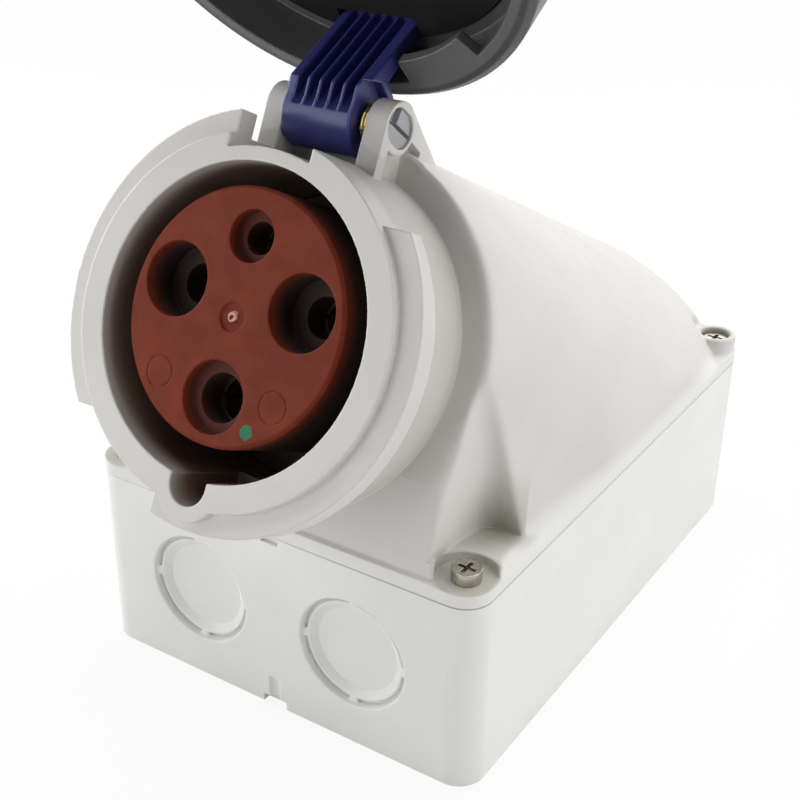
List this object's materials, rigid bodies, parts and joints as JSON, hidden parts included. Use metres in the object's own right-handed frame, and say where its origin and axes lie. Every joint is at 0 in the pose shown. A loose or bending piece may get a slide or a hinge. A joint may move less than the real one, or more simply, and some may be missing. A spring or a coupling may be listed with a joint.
{
  "type": "industrial wall socket",
  "caption": "Surface-mounted industrial power socket: grey box, hooded cover with a tilted round collar, red contact carrier, and a hinged lid with a turning bayonet ring.",
  "frame": {"origin": "centre of the base's back face, which lies on the wall", "axes": "+Z out of the wall, -Y towards the cable entries and the socket's mouth, +X to the right as seen from the mouth"},
  "size_m": [0.1196, 0.201, 0.2597],
  "materials": {
    "base_plastic": "fine moulded light grey plastic",
    "cover_plastic": "fine moulded light grey plastic",
    "seal_rubber": "matt black rubber",
    "screw_steel": "plated steel",
    "carrier_plastic": "matt brick red thermoset",
    "rear_plastic": "matt grey plastic",
    "contact_brass": "turned brass",
    "spring_steel": "spring steel",
    "lid_plastic": "satin dark blue plastic",
    "ring_plastic": "satin dark grey plastic",
    "plug_plastic": "satin grey plastic",
    "spring_wire": "yellow passivated spring wire"
  },
  "bodies": {
    "housing": {"base_box": "base_plastic", "cover_housing": "cover_plastic", "cover_gasket": "seal_rubber", "cover_screws": "screw_steel", "carrier_seal": "seal_rubber", "contact_carrier": "carrier_plastic", "carrier_base": "rear_plastic", "carrier_screws": "screw_steel", "live_contact": "contact_brass", "neutral_contact": "contact_brass", "earth_contact": "contact_brass", "pilot_contact": "contact_brass", "contact_rings": "spring_steel", "terminal_screws": "screw_steel", "hinge_pin": "screw_steel", "pin_plug": "plug_plastic", "hinge_spring": "spring_wire"},
    "lid": {"lid_cap": "lid_plastic", "lid_gasket": "seal_rubber"},
    "ring": {"bayonet_ring": "ring_plastic"}
  },
  "joints": [
    {"name": "lid_hinge", "type": "hinge", "parent": "housing", "child": "lid", "pos_m": [0, -0.05263, 0.15194], "axis": [1, 0, 0], "range_deg": [0, 122]},
    {"name": "ring_twist", "type": "hinge", "parent": "lid", "child": "ring", "pos_m": [0, -0.06019, 0.20804], "axis": [0, 0.8462, 0.5329], "range_deg": [-40, 0]}
  ]
}
